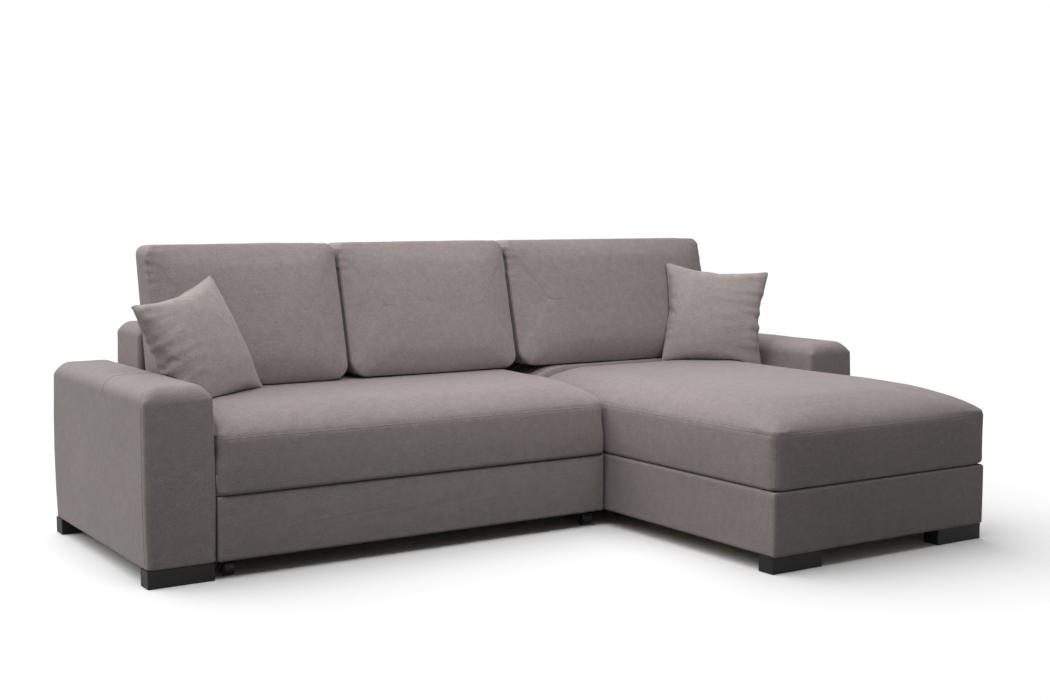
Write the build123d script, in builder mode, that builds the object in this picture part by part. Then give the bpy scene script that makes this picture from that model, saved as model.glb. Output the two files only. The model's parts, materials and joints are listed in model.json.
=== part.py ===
"""A corner sofa with a pull-out bed under the sofa seat and a storage box under the chaise seat.

Millimetres, +Z up, origin on the floor under the middle of the whole sofa. The front faces -Y,
and the chaise is on the +X side. Spans are pairs: the low and the high end along one axis.
"""
from build123d import *
from math import atan2, cos, radians, sin, sqrt
import os

# Overall sizes
arm_width = 210.0
arm_depth = 908.0
arm_top = 565.0
sofa_seat_width = 1358.0
chaise_width = 913.0
chaise_reach = 832.0
chaise_arm_gap = 25.0
module_gap = 4.0
back_top = 690.0
back_thickness = 235.0
back_setback = 10.0

# Feet
foot_height = 50.0
foot_width = 197.0
foot_depth = 62.0
foot_inset = 2.0
chaise_foot_inset = 8.0

# Timber and covers
board = 18.0
arm_ribs = 3
sofa_back_ribs = 4
chaise_back_ribs = 3
rail = 22.0
rail_height = 60.0
cover_wall = 22.0
arm_round = 46.0
back_round = 40.0
cover_edge_round = 24.0

# Seats
seat_bottom = 244.0
frame_height = 60.0
strap_width = 60.0
strap_thickness = 2.5
seam_height = 410.0
seat_crown = 490.0
seat_overhang = 19.0
pad_skirt = 22.0
pad_corner = 26.0
front_shoulder = 190.0
chaise_side_shoulder = 140.0
sofa_side_shoulder = 60.0
rear_shoulder = 60.0
dome_layers = 4
least_bow = 1.0
side_gap = 2.0
frame_gap_limit = 320.0

# Chaise box and its lid
base_inset = 6.0
skin = 6.0
box_floor = 8.0
floor_lift = 6.0
ledge_depth = 225.0
ledge_rail_drop = 50.0
hinge_depth = 43.0
hinge_leaf = 2.0
knuckle_radius = 5.0
hinge_pin_radius = 2.5
hinge_width = 100.0
hinge_drop = 55.0
hinge_count = 3
knuckles = 3
running_clearance = 0.08
end_clearance = 0.5
buffer_radius = 8.0
buffer_height = 4.0
buffer_inset = 36.0
link_width = 72.0
link_inset = 72.0
spacer_inset = 144.0

# Gas struts
strut_reach = 320.0
strut_spread = 60.0
strut_lid_rise = 32.0
strut_inset = 57.0
strut_eye = 9.0
strut_eye_width = 12.0
strut_pin_radius = 4.0
cylinder_radius = 9.0
cylinder_length = 235.0
rod_radius = 4.5
rod_length = 280.0
rod_clearance = 0.4
bracket_plate = 3.0
bracket_width = 40.0

# Pull-out bed
bed_panel_gap = 3.0
bed_front_setback = 5.0
bed_cover = 8.0
bed_cover_edge = 4.0
bed_depth = 600.0
bed_headroom = 8.0
slat_count = 6
slat_width = 70.0
slat_thickness = 15.0
bed_pad = 46.0
channel_depth = 14.0
channel_wall = 1.5
roller_drop = 25.0
channel_end_gap = 15.0
roller_radius = 20.0
roller_width = 10.0
roller_pin_radius = 4.0
roller_setback = 25.0
castor_radius = 25.0
castor_width = 38.0
castor_setback = 29.0
castor_bevel = 5.0
castor_axle_radius = 4.0
castor_cheek = 3.0
castor_cheek_end = 10.0

# Loose cushions and pillows
loose_gap = 3.0
cushion_front_gap = 2.0
cushion_depth = 190.0
cushion_top_depth = 150.0
cushion_lean = 125.0
cushion_height = 457.5
cushion_corner = 40.0
corner_share = 0.4
cushion_crown = 24.0
cushion_draw_in = 5.0
cushion_edge_round = 44.0
crown_share = 0.45
foot_bulge = 0.8
top_bulge = 0.6
sofa_cushion_split = 0.497
cushion_overlap = 31.0
right_cushion_width = 913.0
seat_clearance = 0.5
pillow_size = 360.0
pillow_thickness = 130.0
pillow_corner = 14.0
pillow_shoulder = 120.0
pillow_draw_in = 16.0
pillow_spread = 0.33
pillow_clearance = 0.3
left_pillow_offset = (99.0, -60.0, 142.0)
left_pillow_turn = (25.0, 20.0, 13.0)
right_pillow_offset = (-134.0, -74.0, 157.0)
right_pillow_turn = (-35.0, 17.0, -5.0)


def mid(span):
    return (span[0] + span[1]) / 2


def size(span):
    return span[1] - span[0]


def grown(span, amount):
    return (span[0] - amount, span[1] + amount)


# Places worked out from the sizes above
overall_width = 2 * arm_width + sofa_seat_width + module_gap + chaise_width + chaise_arm_gap
overall_depth = arm_depth + chaise_reach
rear_y = overall_depth / 2
front_y = -rear_y
arm_front_y = rear_y - arm_depth
arm_y = (arm_front_y, rear_y)
left_arm_x = (-overall_width / 2, -overall_width / 2 + arm_width)
right_arm_x = (overall_width / 2 - arm_width, overall_width / 2)
sofa_x = (left_arm_x[1], left_arm_x[1] + sofa_seat_width)
chaise_x = (sofa_x[1] + module_gap, sofa_x[1] + module_gap + chaise_width)
back_y = (rear_y - back_setback - back_thickness, rear_y - back_setback)
frame_top = seat_bottom + frame_height
strap_top = frame_top + 2 * strap_thickness
seat_dome_z = (seam_height, seat_crown)
base_top = seat_bottom - buffer_height
hinge_y = back_y[0] - ledge_depth
hinge_height = seat_crown - hinge_depth
ledge_rail_top = seat_crown - ledge_rail_drop
base_x = grown(chaise_x, -base_inset)
box_x = grown(base_x, -skin)
box_y = (front_y + base_inset + skin, back_y[0])
inside_x = grown(box_x, -board)


def block(x, y, z, mode=Mode.ADD):
    """A square-edged bar over three spans, joined to the part being made."""
    with Locations((mid(x), mid(y), mid(z))):
        Box(size(x), size(y), size(z), mode=mode)


def plain_board(x, y, z):
    with BuildPart() as piece:
        block(x, y, z)
    return piece.part


def save(piece, name):
    piece.label = name
    export_step(piece, f"parts/{name}.step")


def along_y(x, y, z):
    """A plane that stands across the sofa's depth, at the front end of a long piece."""
    return Plane(origin=(mid(x), y, z), x_dir=(-1, 0, 0), z_dir=(0, 1, 0))


def along_x(x, y, z):
    """A plane that stands across the sofa's width, at the left end of a long piece."""
    return Plane(origin=(x, mid(y), z), x_dir=(0, 1, 0), z_dir=(1, 0, 0))


def rounded_profile(plane, width, height, top_round):
    with BuildSketch(plane) as sketch:
        Rectangle(width, height, align=(Align.CENTER, Align.MIN))
        fillet(sketch.vertices().group_by(Axis.Y)[-1], top_round)
    return sketch.sketch


def padded_cover(plane, width, height, length, top_round):
    """A padded shell, open below, with a rounded top and softened ends."""
    end_axis = Axis((0, 0, 0), tuple(plane.z_dir))
    floor_z = plane.origin.Z
    with BuildPart() as cover:
        extrude(rounded_profile(plane, width, height, top_round), amount=length)
        ends = cover.faces().filter_by(end_axis)
        rims = [edge for edge in ends.edges() if edge.center().Z > floor_z + cover_wall / 2]
        fillet(rims, cover_edge_round)
        cavity = rounded_profile(
            plane.offset(cover_wall),
            width - 2 * cover_wall,
            height - cover_wall,
            top_round - cover_wall / 2,
        )
        extrude(cavity, amount=length - 2 * cover_wall, mode=Mode.SUBTRACT)
    return cover.part


def ribbed_frame(plane, width, height, length, top_round, ribs):
    """The timber inside a padded cover: plywood ribs on two bottom rails and a top board."""
    plane = plane.offset(cover_wall)
    width = width - 2 * cover_wall
    height = height - cover_wall
    length = length - 2 * cover_wall
    top_round = top_round - cover_wall / 2
    with BuildPart() as frame:
        for place in range(ribs):
            rib_plane = plane.offset(place * (length - board) / (ribs - 1))
            extrude(rounded_profile(rib_plane, width, height, top_round), amount=board)
        with BuildSketch(plane) as rails:
            with Locations((-width / 2, 0)):
                Rectangle(board, rail_height, align=Align.MIN)
            with Locations((width / 2, 0)):
                Rectangle(board, rail_height, align=(Align.MAX, Align.MIN))
            with Locations((0, height)):
                Rectangle(width - 2 * top_round, board, align=(Align.CENTER, Align.MAX))
        extrude(rails.sketch, amount=length)
    return frame.part


def ladder_frame(x, y, z):
    """Four outer rails, with cross rails close enough to carry the straps."""
    spaces = int(max(size(x), size(y)) // frame_gap_limit) + 1
    with BuildPart() as frame:
        block(x, (y[0], y[0] + rail), z)
        block(x, (y[1] - rail, y[1]), z)
        block((x[0], x[0] + rail), y, z)
        block((x[1] - rail, x[1]), y, z)
        for place in range(1, spaces):
            if size(y) > size(x):
                start = y[0] + place * (size(y) - rail) / spaces
                block(x, (start, start + rail), z)
            else:
                start = x[0] + place * (size(x) - rail) / spaces
                block((start, start + rail), y, z)
    return frame.part


def webbing(x, y, bottom):
    """Two layers of straps: the lower from front to back, the upper from side to side."""
    lower = (bottom, bottom + strap_thickness)
    upper = (lower[1], lower[1] + strap_thickness)
    columns = int(size(x) // (2 * strap_width))
    rows = int(size(y) // (2 * strap_width))
    with BuildPart() as straps:
        for place in range(columns):
            centre = x[0] + (place + 0.5) * size(x) / columns
            block(grown((centre, centre), strap_width / 2), y, lower)
        for place in range(rows):
            centre = y[0] + (place + 0.5) * size(y) / rows
            block(x, grown((centre, centre), strap_width / 2), upper)
    return straps.part


def soft_outline(plane, x, y, corner, bows):
    """A closed outline with rounded corners, whose sides bow out (or in, below zero) by set amounts."""
    near = corner * (1 - sin(radians(45)))
    front, right, rear, left = bows
    with BuildSketch(plane) as sketch:
        with BuildLine():
            ThreePointArc((x[0] + corner, y[0]), (mid(x), y[0] - front), (x[1] - corner, y[0]))
            ThreePointArc((x[1] - corner, y[0]), (x[1] - near, y[0] + near), (x[1], y[0] + corner))
            ThreePointArc((x[1], y[0] + corner), (x[1] + right, mid(y)), (x[1], y[1] - corner))
            ThreePointArc((x[1], y[1] - corner), (x[1] - near, y[1] - near), (x[1] - corner, y[1]))
            ThreePointArc((x[1] - corner, y[1]), (mid(x), y[1] + rear), (x[0] + corner, y[1]))
            ThreePointArc((x[0] + corner, y[1]), (x[0] + near, y[1] - near), (x[0], y[1] - corner))
            ThreePointArc((x[0], y[1] - corner), (x[0] - left, mid(y)), (x[0], y[0] + corner))
            ThreePointArc((x[0], y[0] + corner), (x[0] + near, y[0] + near), (x[0] + corner, y[0]))
        make_face()
    return sketch.sketch


def dome(x, y, z, shoulders, mode=Mode.ADD):
    """A crowned top: elliptical shoulders (front, side, rear) that rise from a seam to the crown."""
    front, side, rear = shoulders
    sections = []
    for layer in range(dome_layers + 1):
        turn = radians(90 * layer / dome_layers)
        drawn = 1 - cos(turn)
        level = Plane.XY.offset(z[0] + size(z) * sin(turn))
        span_y = (y[0] + front * drawn, y[1] - rear * drawn)
        sections.append(soft_outline(level, grown(x, -side * drawn), span_y, pad_corner, (-least_bow,) * 4))
    loft(sections, ruled=True, mode=mode)


os.makedirs("parts", exist_ok=True)

# Arms: padded covers over timber frames
for name, arm_x in (("left_arm", left_arm_x), ("right_arm", right_arm_x)):
    arm_plane = along_y(arm_x, arm_y[0], foot_height)
    arm_shape = (arm_plane, arm_width, arm_top - foot_height, arm_depth, arm_round)
    save(padded_cover(*arm_shape), f"{name}_cover")
    save(ribbed_frame(*arm_shape, arm_ribs), f"{name}_frame")

# Backs: one behind the sofa seat, one behind the chaise
chaise_back_x = (chaise_x[0], right_arm_x[0])
backs = (("sofa_back", sofa_x, sofa_back_ribs), ("chaise_back", chaise_back_x, chaise_back_ribs))
for name, back_x, ribs in backs:
    back_plane = along_x(back_x[0], back_y, foot_height)
    back_shape = (back_plane, back_thickness, back_top - foot_height, size(back_x), back_round)
    save(padded_cover(*back_shape), f"{name}_cover")
    save(ribbed_frame(*back_shape, ribs), f"{name}_frame")

# Sofa seat: two side panels carry a ladder frame, its straps and the pad
bed_bay_front = arm_front_y - bed_front_setback + bed_cover + board + bed_panel_gap
panel_y = (bed_bay_front, back_y[0])
panel_z = (foot_height, seat_bottom)
left_panel_x = (sofa_x[0], sofa_x[0] + board)
right_panel_x = (sofa_x[1] - board, sofa_x[1])
save(plain_board(left_panel_x, panel_y, panel_z), "sofa_panel_left")
save(plain_board(right_panel_x, panel_y, panel_z), "sofa_panel_right")

sofa_pad_x = grown(sofa_x, -side_gap)
sofa_pad_y = (arm_front_y - seat_overhang, back_y[0] - loose_gap)
sofa_frame_y = (sofa_pad_y[0] + pad_skirt, back_y[0])
save(ladder_frame(sofa_x, sofa_frame_y, (seat_bottom, frame_top)), "sofa_seat_frame")
save(webbing(sofa_x, sofa_frame_y, frame_top), "sofa_seat_webbing")
sofa_shoulders = (front_shoulder, sofa_side_shoulder, rear_shoulder)
with BuildPart() as sofa_seat_pad:
    block(sofa_pad_x, sofa_pad_y, (strap_top, seam_height))
    block(sofa_pad_x, (sofa_pad_y[0], sofa_frame_y[0]), (seat_bottom, strap_top))
    pad_ends = sofa_seat_pad.edges().filter_by(Axis.Z).group_by(Axis.Y)[0]
    fillet(pad_ends, pad_skirt - side_gap)
    dome(sofa_pad_x, sofa_pad_y, seat_dome_z, sofa_shoulders)
save(sofa_seat_pad.part, "sofa_seat_pad")

# Pull-out bed: a padded front on a slatted box
bed_x = grown(sofa_x, -side_gap)
bed_z = (foot_height + side_gap, seat_bottom - 2 * side_gap)
bed_front_y = arm_front_y - bed_front_setback
front_board_y = (bed_front_y + bed_cover, bed_front_y + bed_cover + board)
front_board_z = grown(bed_z, -bed_cover_edge)
save(plain_board(bed_x, front_board_y, front_board_z), "bed_front_board")
with BuildPart() as bed_front_cover:
    block(bed_x, (bed_front_y, front_board_y[1]), bed_z)
    fillet(bed_front_cover.edges().group_by(Axis.Y)[0], bed_cover_edge)
    block(bed_x, (front_board_y[0], front_board_y[1]), front_board_z, mode=Mode.SUBTRACT)
save(bed_front_cover.part, "bed_front_cover")

bed_inner_x = (left_panel_x[1] + channel_depth + side_gap, right_panel_x[0] - channel_depth - side_gap)
bed_side_y = (front_board_y[1], front_board_y[1] + bed_depth)
bed_board_top = seat_bottom - bed_headroom - bed_pad - slat_thickness
bed_side_z = (front_board_z[0], bed_board_top)
left_side_x = (bed_inner_x[0], bed_inner_x[0] + board)
right_side_x = (bed_inner_x[1] - board, bed_inner_x[1])
bearer_x = grown((mid(bed_inner_x), mid(bed_inner_x)), board / 2)
bed_rear_y = (bed_side_y[1] - board, bed_side_y[1])
save(plain_board(left_side_x, bed_side_y, bed_side_z), "bed_side_left")
save(plain_board(right_side_x, bed_side_y, bed_side_z), "bed_side_right")
save(plain_board((left_side_x[1], right_side_x[0]), bed_rear_y, bed_side_z), "bed_rear_board")
save(plain_board(bearer_x, (bed_side_y[0], bed_rear_y[0]), bed_side_z), "bed_centre_bearer")
slat_z = (bed_board_top, bed_board_top + slat_thickness)
with BuildPart() as bed_slats:
    slat_pitch = (bed_depth - slat_width) / (slat_count - 1)
    for place in range(slat_count):
        slat_start = bed_side_y[0] + place * slat_pitch
        block(bed_inner_x, (slat_start, slat_start + slat_width), slat_z)
save(bed_slats.part, "bed_slats")
with BuildPart() as bed_mattress_pad:
    pad_x = grown(bed_inner_x, -side_gap)
    pad_y = grown(bed_side_y, -side_gap)
    pad_side_z = (slat_z[1], slat_z[1] + bed_pad / 2)
    block(pad_x, pad_y, pad_side_z)
    fillet(bed_mattress_pad.edges().filter_by(Axis.Z), pad_corner)
    dome(pad_x, pad_y, (pad_side_z[1], slat_z[1] + bed_pad), (bed_pad, bed_pad, bed_pad))
save(bed_mattress_pad.part, "bed_mattress_pad")

# Guide channels on the sofa's side panels, with the rollers that run in them
channel_half = roller_radius + end_clearance + channel_wall
roller_z = bed_board_top - roller_drop
channel_z = grown((roller_z, roller_z), channel_half)
channel_y = (panel_y[0] + channel_end_gap, panel_y[1])
for name, channel_x, lip_x in (
    ("left", (left_panel_x[1], left_panel_x[1] + channel_depth), channel_wall),
    ("right", (right_panel_x[0] - channel_depth, right_panel_x[0]), -channel_wall),
):
    with BuildPart() as guide_channel:
        block(channel_x, channel_y, channel_z)
        hollow_x = (channel_x[0] + lip_x, channel_x[1] + lip_x)
        block(hollow_x, channel_y, grown(channel_z, -channel_wall), mode=Mode.SUBTRACT)
    save(guide_channel.part, f"guide_channel_{name}")

roller_y = bed_side_y[1] - roller_setback
roller_sides = (
    (bed_inner_x[0] - side_gap - end_clearance - roller_width, bed_inner_x[0]),
    (bed_inner_x[1], bed_inner_x[1] + side_gap + end_clearance + roller_width),
)
with BuildPart() as guide_rollers:
    for near_x in (roller_sides[0][0], roller_sides[1][1] - roller_width):
        with BuildSketch(Plane.YZ.offset(near_x)):
            with Locations((roller_y, roller_z)):
                Circle(roller_radius)
                Circle(roller_pin_radius + running_clearance, mode=Mode.SUBTRACT)
        extrude(amount=roller_width)
save(guide_rollers.part, "guide_rollers")
with BuildPart() as roller_pins:
    for pin_x in roller_sides:
        with BuildSketch(Plane.YZ.offset(pin_x[0])):
            with Locations((roller_y, roller_z)):
                Circle(roller_pin_radius)
        extrude(amount=size(pin_x))
save(roller_pins.part, "roller_pins")

# Castors under the front of the bed
castor_y = front_board_y[1] + castor_setback
castor_half = castor_width / 2 + end_clearance
castor_centres = (
    left_panel_x[1] + bed_panel_gap + castor_half + castor_cheek,
    right_panel_x[0] - bed_panel_gap - castor_half - castor_cheek,
)
cheek_top = front_board_z[0]
with BuildPart() as castor_wheels:
    for centre in castor_centres:
        with BuildSketch(Plane.YZ.offset(centre - castor_width / 2)):
            with Locations((castor_y, castor_radius)):
                Circle(castor_radius)
        extrude(amount=castor_width)
    chamfer(castor_wheels.edges().filter_by(GeomType.CIRCLE), castor_bevel)
    for centre in castor_centres:
        with BuildSketch(Plane.YZ.offset(centre - castor_width / 2)):
            with Locations((castor_y, castor_radius)):
                Circle(castor_axle_radius + running_clearance)
        extrude(amount=castor_width, mode=Mode.SUBTRACT)
save(castor_wheels.part, "castor_wheels")
with BuildPart() as castor_brackets:
    for centre in castor_centres:
        outer_x = grown((centre, centre), castor_half + castor_cheek)
        plate_y = grown((castor_y, castor_y), castor_radius)
        block(outer_x, plate_y, (cheek_top - castor_cheek, cheek_top))
        for cheek_x in (outer_x[0], outer_x[1] - castor_cheek):
            with BuildSketch(Plane.YZ.offset(cheek_x)):
                with BuildLine():
                    Polyline(
                        (castor_y - castor_cheek_end, castor_radius),
                        (plate_y[0], cheek_top - castor_cheek),
                        (plate_y[1], cheek_top - castor_cheek),
                        (castor_y + castor_cheek_end, castor_radius),
                    )
                    ThreePointArc(
                        (castor_y + castor_cheek_end, castor_radius),
                        (castor_y, castor_radius - castor_cheek_end),
                        (castor_y - castor_cheek_end, castor_radius),
                    )
                make_face()
                with Locations((castor_y, castor_radius)):
                    Circle(castor_axle_radius + running_clearance, mode=Mode.SUBTRACT)
            extrude(amount=castor_cheek)
save(castor_brackets.part, "castor_brackets")
with BuildPart() as castor_axles:
    for centre in castor_centres:
        axle_half = castor_half + castor_cheek
        with BuildSketch(Plane.YZ.offset(centre - axle_half)):
            with Locations((castor_y, castor_radius)):
                Circle(castor_axle_radius)
        extrude(amount=2 * axle_half)
save(castor_axles.part, "castor_axles")

# Chaise box: boards, floor and the upholstered base skin
box_z = (foot_height, base_top)
front_box_y = (box_y[0], box_y[0] + board)
rear_box_y = (box_y[1] - board, box_y[1])
left_box_x = (box_x[0], inside_x[0])
right_box_x = (inside_x[1], box_x[1])
save(plain_board(box_x, front_box_y, box_z), "chaise_front_board")
save(plain_board(left_box_x, (front_box_y[1], box_y[1]), box_z), "chaise_left_board")
save(plain_board(right_box_x, (front_box_y[1], box_y[1]), box_z), "chaise_right_board")
save(plain_board(inside_x, rear_box_y, box_z), "chaise_rear_board")
floor_z = (foot_height + floor_lift, foot_height + floor_lift + box_floor)
save(plain_board(inside_x, (front_box_y[1], rear_box_y[0]), floor_z), "chaise_floor")
with BuildPart() as chaise_base_cover:
    block(base_x, (box_y[0] - skin, box_y[1]), box_z)
    fillet(chaise_base_cover.edges().filter_by(Axis.Z).group_by(Axis.Y)[0], pad_skirt / 2)
    block(box_x, box_y, box_z, mode=Mode.SUBTRACT)
save(chaise_base_cover.part, "chaise_base_cover")

# Blocks that link the chaise to the sofa module and to the right arm
link_z = grown((mid(box_z), mid(box_z)), link_width / 2)
rear_link_y = panel_y[1] - link_inset
with BuildPart() as module_links:
    for link_y in (panel_y[0] + link_inset, rear_link_y):
        block((sofa_x[1], base_x[0]), grown((link_y, link_y), link_width / 2), link_z)
    for link_y in (arm_front_y + spacer_inset, rear_link_y):
        block((base_x[1], right_arm_x[0]), grown((link_y, link_y), link_width / 2), link_z)
save(module_links.part, "module_links")

# Strut pivots lie at one distance from the hinge, so that a strut turns half as far as the lid
lid_pivot_drop = hinge_height - seat_bottom - strut_lid_rise
lid_pivot_angle = atan2(lid_pivot_drop, sqrt(strut_reach**2 - lid_pivot_drop**2))
box_pivot_angle = lid_pivot_angle + radians(strut_spread)
lid_pivot, box_pivot = (
    (hinge_y - strut_reach * cos(angle), hinge_height - strut_reach * sin(angle))
    for angle in (lid_pivot_angle, box_pivot_angle)
)

# Chaise lid: a ladder frame that clears the struts, with a tall rear rail, straps and a domed pad
lid_rear_y = hinge_y - knuckle_radius
lid_rail_y = (lid_rear_y - rail, lid_rear_y)
lid_frame_x = grown(chaise_x, -pad_skirt)
lid_frame_y = (front_y + pad_skirt, lid_rear_y)
strut_rail_end = lid_pivot[0] - bracket_width / 2 - side_gap
with BuildPart() as chaise_lid_frame:
    add(ladder_frame(lid_frame_x, (lid_frame_y[0], strut_rail_end), (seat_bottom, frame_top)))
    add(ladder_frame(lid_frame_x, (strut_rail_end - rail, lid_rear_y), (seat_bottom, frame_top)))
    block(lid_frame_x, lid_rail_y, (frame_top, ledge_rail_top))
save(chaise_lid_frame.part, "chaise_lid_frame")
save(webbing(lid_frame_x, (lid_frame_y[0], lid_rail_y[0]), frame_top), "chaise_lid_webbing")
chaise_pad_y = (front_y, lid_rear_y - side_gap)
chaise_shoulders = (front_shoulder, chaise_side_shoulder, rear_shoulder)
with BuildPart() as chaise_seat_pad:
    block(chaise_x, chaise_pad_y, (seat_bottom, seam_height))
    fillet(chaise_seat_pad.edges().filter_by(Axis.Z).group_by(Axis.Y)[0], pad_skirt)
    block(lid_frame_x, (lid_frame_y[0], chaise_pad_y[1]), (seat_bottom, strap_top), mode=Mode.SUBTRACT)
    dome(chaise_x, chaise_pad_y, seat_dome_z, chaise_shoulders)
    rail_clear_z = (seat_bottom, ledge_rail_top + side_gap)
    block(grown(chaise_x, pad_skirt), (lid_rail_y[0], lid_rear_y), rail_clear_z, mode=Mode.SUBTRACT)
save(chaise_seat_pad.part, "chaise_seat_pad")

# The fixed ledge behind the lid, which carries the right back cushion
ledge_rail_y = (hinge_y + knuckle_radius, hinge_y + knuckle_radius + rail)
ledge_deck_z = (frame_top - board, frame_top)
with BuildPart() as chaise_ledge_frame:
    block(box_x, ledge_rail_y, (base_top, ledge_rail_top))
    block(box_x, (ledge_rail_y[1], box_y[1]), ledge_deck_z)
    block(left_box_x, (ledge_rail_y[1], box_y[1]), (base_top, ledge_deck_z[0]))
    block(right_box_x, (ledge_rail_y[1], box_y[1]), (base_top, ledge_deck_z[0]))
    block(inside_x, rear_box_y, (base_top, ledge_deck_z[0]))
save(chaise_ledge_frame.part, "chaise_ledge_frame")
with BuildPart() as chaise_ledge_pad:
    block(chaise_x, (ledge_rail_y[1], back_y[0] - loose_gap), (frame_top, seat_crown))
    block(chaise_x, (ledge_rail_y[0] + side_gap, ledge_rail_y[1]), (ledge_rail_top, seat_crown))
    top_front = chaise_ledge_pad.edges().filter_by(Axis.X).group_by(Axis.Y)[0].sort_by(Axis.Z)[-1]
    fillet(top_front, pad_skirt)
save(chaise_ledge_pad.part, "chaise_ledge_pad")
with BuildPart() as lid_buffers:
    for buffer_x in (mid(left_box_x), mid(right_box_x)):
        for buffer_y in (front_box_y[1] + buffer_inset, lid_rail_y[0] - strut_reach - buffer_inset):
            with BuildSketch(Plane.XY.offset(base_top)):
                with Locations((buffer_x, buffer_y)):
                    Circle(buffer_radius)
            extrude(amount=buffer_height)
save(lid_buffers.part, "lid_buffers")

# Butt hinges: leaves on the two tall rails, with knuckles that take turns along the pin
knuckle_length = hinge_width / knuckles
leaf_top = hinge_height - knuckle_radius - side_gap
hinge_pitch = size(lid_frame_x) / hinge_count


def hinge_leaves(leaf_y, first):
    """Leaves on one side of the hinges; first is 0 or 1, the first knuckle that they own."""
    with BuildPart() as leaves:
        for place in range(hinge_count):
            start = lid_frame_x[0] + (place + 0.5) * hinge_pitch - hinge_width / 2
            block((start, start + hinge_width), leaf_y, (hinge_height - hinge_drop, leaf_top))
            for knuckle in range(first, knuckles, 2):
                knuckle_x = (
                    start + knuckle * knuckle_length + end_clearance / 2,
                    start + (knuckle + 1) * knuckle_length - end_clearance / 2,
                )
                block(knuckle_x, leaf_y, (leaf_top, hinge_height))
                with BuildSketch(Plane.YZ.offset(knuckle_x[0])) as ring:
                    with Locations((hinge_y, hinge_height)):
                        Circle(knuckle_radius)
                extrude(ring.sketch, amount=size(knuckle_x))
            with BuildSketch(Plane.YZ.offset(start)) as bore:
                with Locations((hinge_y, hinge_height)):
                    Circle(hinge_pin_radius + running_clearance)
            extrude(bore.sketch, amount=hinge_width, mode=Mode.SUBTRACT)
    return leaves.part


save(hinge_leaves((ledge_rail_y[0] - hinge_leaf, ledge_rail_y[0]), 0), "hinge_fixed_leaves")
save(hinge_leaves((lid_rear_y, lid_rear_y + hinge_leaf), 1), "hinge_lid_leaves")
with BuildPart() as hinge_pins:
    for place in range(hinge_count):
        start = lid_frame_x[0] + (place + 0.5) * hinge_pitch - hinge_width / 2
        with BuildSketch(Plane.YZ.offset(start)):
            with Locations((hinge_y, hinge_height)):
                Circle(hinge_pin_radius)
        extrude(amount=hinge_width)
save(hinge_pins.part, "hinge_pins")

# Gas struts: cylinders on the box, rods on the lid
strut_length = 2 * strut_reach * sin(radians(strut_spread / 2))
strut_direction = (
    0,
    (lid_pivot[0] - box_pivot[0]) / strut_length,
    (lid_pivot[1] - box_pivot[1]) / strut_length,
)
strut_centres = (box_x[0] + strut_inset, box_x[1] - strut_inset)


def strut_part(pivot, direction, length, radius):
    """An eye on a pivot, with a round bar from it along the strut, on both sides of the box."""
    with BuildPart() as bars:
        for centre in strut_centres:
            start = (centre, pivot[0], pivot[1])
            with BuildSketch(Plane(origin=start, x_dir=(1, 0, 0), z_dir=direction)) as bar:
                Circle(radius)
            extrude(bar.sketch, amount=length)
            with BuildSketch(Plane.YZ.offset(centre - strut_eye_width / 2)) as eye:
                with Locations(pivot):
                    Circle(strut_eye)
            extrude(eye.sketch, amount=strut_eye_width)
            with BuildSketch(Plane.YZ.offset(centre - strut_eye)) as bore:
                with Locations(pivot):
                    Circle(strut_pin_radius + running_clearance)
            extrude(bore.sketch, amount=2 * strut_eye, mode=Mode.SUBTRACT)
    return bars.part


def strut_brackets(pivot, faces_x):
    """A plate on each side with a pin that the strut's eye turns on."""
    with BuildPart() as brackets:
        for face_x, centre in zip(faces_x, strut_centres):
            side = 1 if centre > face_x else -1
            plate_x = sorted((face_x, face_x + side * bracket_plate))
            pin_x = sorted((face_x, centre + side * strut_eye_width / 2))
            plate_span = grown((0, 0), bracket_width / 2)
            plate_z = (pivot[1] - strut_eye, pivot[1] + strut_eye)
            block(plate_x, (pivot[0] + plate_span[0], pivot[0] + plate_span[1]), plate_z)
            with BuildSketch(Plane.YZ.offset(pin_x[0])) as pin:
                with Locations(pivot):
                    Circle(strut_pin_radius)
            extrude(pin.sketch, amount=size(pin_x))
    return brackets.part


with BuildPart() as strut_cylinders:
    add(strut_part(box_pivot, strut_direction, cylinder_length, cylinder_radius))
    for centre in strut_centres:
        bore_plane = Plane(
            origin=(centre, box_pivot[0], box_pivot[1]), x_dir=(1, 0, 0), z_dir=strut_direction
        )
        with BuildSketch(bore_plane.offset(2 * strut_eye)):
            Circle(rod_radius + rod_clearance)
        extrude(amount=cylinder_length, mode=Mode.SUBTRACT)
save(strut_cylinders.part, "strut_cylinders")
to_box = tuple(-value for value in strut_direction)
save(strut_part(lid_pivot, to_box, rod_length, rod_radius), "strut_rods")
save(strut_brackets(box_pivot, inside_x), "strut_box_brackets")
lid_rail_faces = (lid_frame_x[0] + rail, lid_frame_x[1] - rail)
save(strut_brackets(lid_pivot, lid_rail_faces), "strut_lid_brackets")

# Block feet
rear_foot_y = (rear_y - foot_inset - foot_depth, rear_y - foot_inset)
arm_foot_y = (arm_front_y + foot_inset, arm_front_y + foot_inset + foot_depth)
chaise_foot_front = front_y + base_inset + chaise_foot_inset
chaise_foot_y = (chaise_foot_front, chaise_foot_front + foot_depth)
back_foot_y = (back_y[1] - foot_inset - foot_depth, back_y[1] - foot_inset)
feet = (
    ("foot_left_arm_front", left_arm_x[0] + foot_inset, arm_foot_y),
    ("foot_left_arm_rear", left_arm_x[0] + foot_inset, rear_foot_y),
    ("foot_right_arm_front", right_arm_x[1] - foot_inset - foot_width, arm_foot_y),
    ("foot_right_arm_rear", right_arm_x[1] - foot_inset - foot_width, rear_foot_y),
    ("foot_chaise_front_left", base_x[0] + foot_inset, chaise_foot_y),
    ("foot_chaise_front_right", base_x[1] - foot_inset - foot_width, chaise_foot_y),
)


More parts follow.
